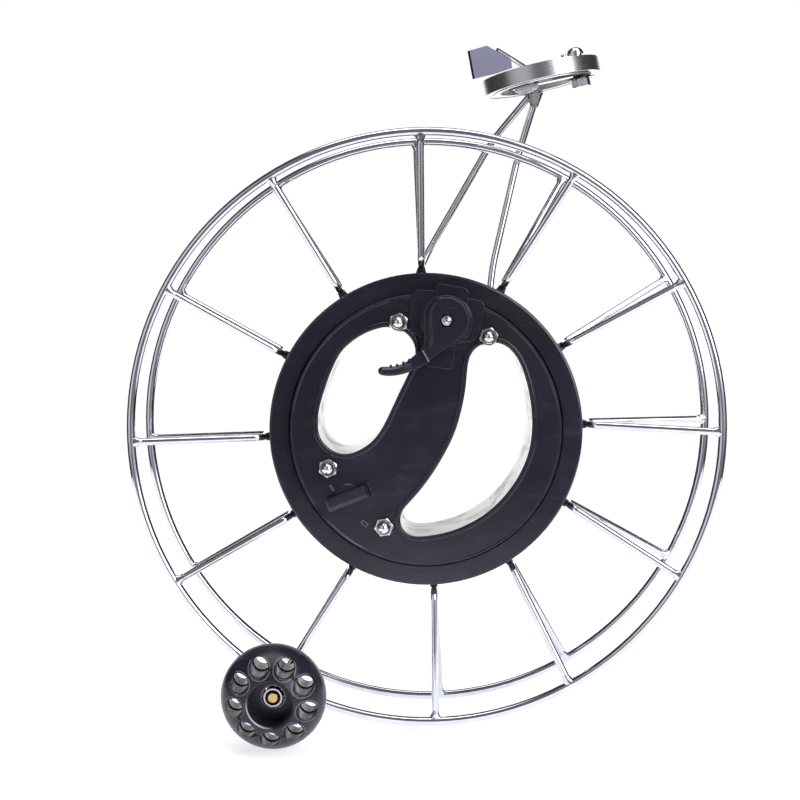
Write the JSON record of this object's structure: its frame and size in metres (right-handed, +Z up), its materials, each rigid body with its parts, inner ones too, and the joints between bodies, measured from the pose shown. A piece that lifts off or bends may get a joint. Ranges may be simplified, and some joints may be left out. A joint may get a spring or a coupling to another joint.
{
  "type": "kite line winder",
  "caption": "Hand-held wheel-type kite line reel: black hub with finger openings, spoked steel rim, winding knob, brake lever, wheel lock and swivelling line guide ring.",
  "frame": {"origin": "on the wheel axis, in the middle of the hub and of the grip bar that the hand holds", "axes": "+Y along the wheel axis away from the side with the brake lever and knob, +Z up towards the line guide, +X to the right seen from the knob side"},
  "size_m": [0.3602, 0.1273, 0.419],
  "materials": {
    "hub_plastic": "glossy black moulded plastic",
    "lever_plastic": "satin black moulded plastic",
    "knob_plastic": "glossy black moulded plastic",
    "polished_rod": "polished stainless rod",
    "weld_steel": "dark weld",
    "bearing_steel": "brushed bearing steel",
    "ball_steel": "polished ball",
    "cage_nylon": "moulded nylon",
    "fastener_steel": "polished stainless",
    "dark_washer": "blackened steel",
    "spring_steel": "spring steel",
    "brass": "turned brass",
    "cam_metal": "die cast alloy",
    "friction_rubber": "friction lining",
    "eyelet_ceramic": "polished hard ring",
    "guard_grey": "satin grey"
  },
  "bodies": {
    "grip": {"front_cover": "hub_plastic", "back_cover": "hub_plastic", "bearing_inner_race": "bearing_steel", "clamp_bolts": "fastener_steel", "acorn_nuts": "fastener_steel", "clamp_washers": "fastener_steel", "guide_arm_left": "polished_rod", "guide_arm_right": "polished_rod", "guide_arm_head": "weld_steel", "guide_outer_ring": "bearing_steel", "guide_shields": "bearing_steel", "brake_return_spring": "spring_steel", "lock_detent_spring": "spring_steel"},
    "wheel": {"hub_ring": "hub_plastic", "bearing_outer_race": "bearing_steel", "bearing_retainer": "cage_nylon", "front_ring": "polished_rod", "back_ring": "polished_rod", "spokes": "polished_rod", "knob_post": "polished_rod", "knob_axle": "fastener_steel", "knob_bearing_inner_races": "bearing_steel", "knob_spacer": "fastener_steel", "knob_washer": "fastener_steel", "knob_screw": "brass"},
    "ball_train": {"bearing_balls": "ball_steel", "bearing_cage": "cage_nylon"},
    "knob": {"knob_front_shell": "knob_plastic", "knob_rear_shell": "knob_plastic", "knob_bearing_outer_races": "bearing_steel", "knob_bearing_balls": "ball_steel"},
    "brake_lever": {"brake_lever": "lever_plastic", "brake_cam": "cam_metal", "brake_pivot_bolt": "fastener_steel", "brake_pivot_nut": "fastener_steel"},
    "brake_shoe": {"brake_shoe": "cam_metal", "brake_pad": "friction_rubber"},
    "lock_knob": {"lock_knob": "lever_plastic", "lock_clip": "spring_steel", "lock_crank": "cam_metal"},
    "lock_bolt": {"lock_bolt": "cam_metal"},
    "guide_swivel": {"guide_inner_ring": "bearing_steel", "swivel_insert": "bearing_steel", "eyelet_strap": "bearing_steel", "line_eyelet": "eyelet_ceramic", "strap_bolt": "fastener_steel", "strap_spacer": "fastener_steel", "strap_washer": "dark_washer", "strap_nut": "fastener_steel", "line_guard_rod": "polished_rod", "line_guard_plate": "guard_grey"},
    "guide_train": {"guide_balls": "ball_steel", "guide_cage": "cage_nylon"}
  },
  "joints": [
    {"name": "wheel_spin", "type": "hinge", "parent": "grip", "child": "wheel", "pos_m": [0, 0, 0], "axis": [0, -1, 0], "continuous": true},
    {"name": "ball_train_spin", "type": "hinge", "parent": "grip", "child": "ball_train", "pos_m": [0, 0, 0], "axis": [0, -1, 0], "continuous": true},
    {"name": "knob_spin", "type": "hinge", "parent": "wheel", "child": "knob", "pos_m": [-0.08875, -0.054, -0.15372], "axis": [0, -1, 0], "continuous": true},
    {"name": "brake_pull", "type": "hinge", "parent": "grip", "child": "brake_lever", "pos_m": [0.0123, -0.034, 0.0657], "axis": [0, -1, 0], "range_deg": [0, 25], "stiffness_Nm_per_rad": 0.2, "springref_deg": -20.05, "deforming": ["brake_return_spring"]},
    {"name": "brake_shoe_slide", "type": "slide", "parent": "grip", "child": "brake_shoe", "axis": [0.184, 0, 0.9829], "range_m": [0, 0.00105]},
    {"name": "lock_turn", "type": "hinge", "parent": "grip", "child": "lock_knob", "pos_m": [-0.04615, -0.033, -0.03985], "axis": [0, -1, 0], "range_deg": [0, 90]},
    {"name": "lock_bolt_slide", "type": "slide", "parent": "grip", "child": "lock_bolt", "axis": [-0.7569, 0, -0.6536], "range_m": [0, 0.00401]},
    {"name": "guide_turn", "type": "hinge", "parent": "grip", "child": "guide_swivel", "pos_m": [0.06993, 0.01, 0.2132], "axis": [-0.2096, 0, 0.9778], "continuous": true},
    {"name": "guide_train_turn", "type": "hinge", "parent": "grip", "child": "guide_train", "pos_m": [0.06993, 0.01, 0.2132], "axis": [-0.2096, 0, 0.9778], "continuous": true}
  ],
  "couplings": [
    {"joint": "ball_train_spin", "follows": "wheel_spin", "ratio": 0.5192},
    {"joint": "brake_shoe_slide", "follows": "brake_pull", "m_per_rad": 0.0024},
    {"joint": "lock_bolt_slide", "follows": "lock_turn", "m_per_rad": 0.0025479},
    {"joint": "guide_train_turn", "follows": "guide_turn", "ratio": 0.4638}
  ]
}
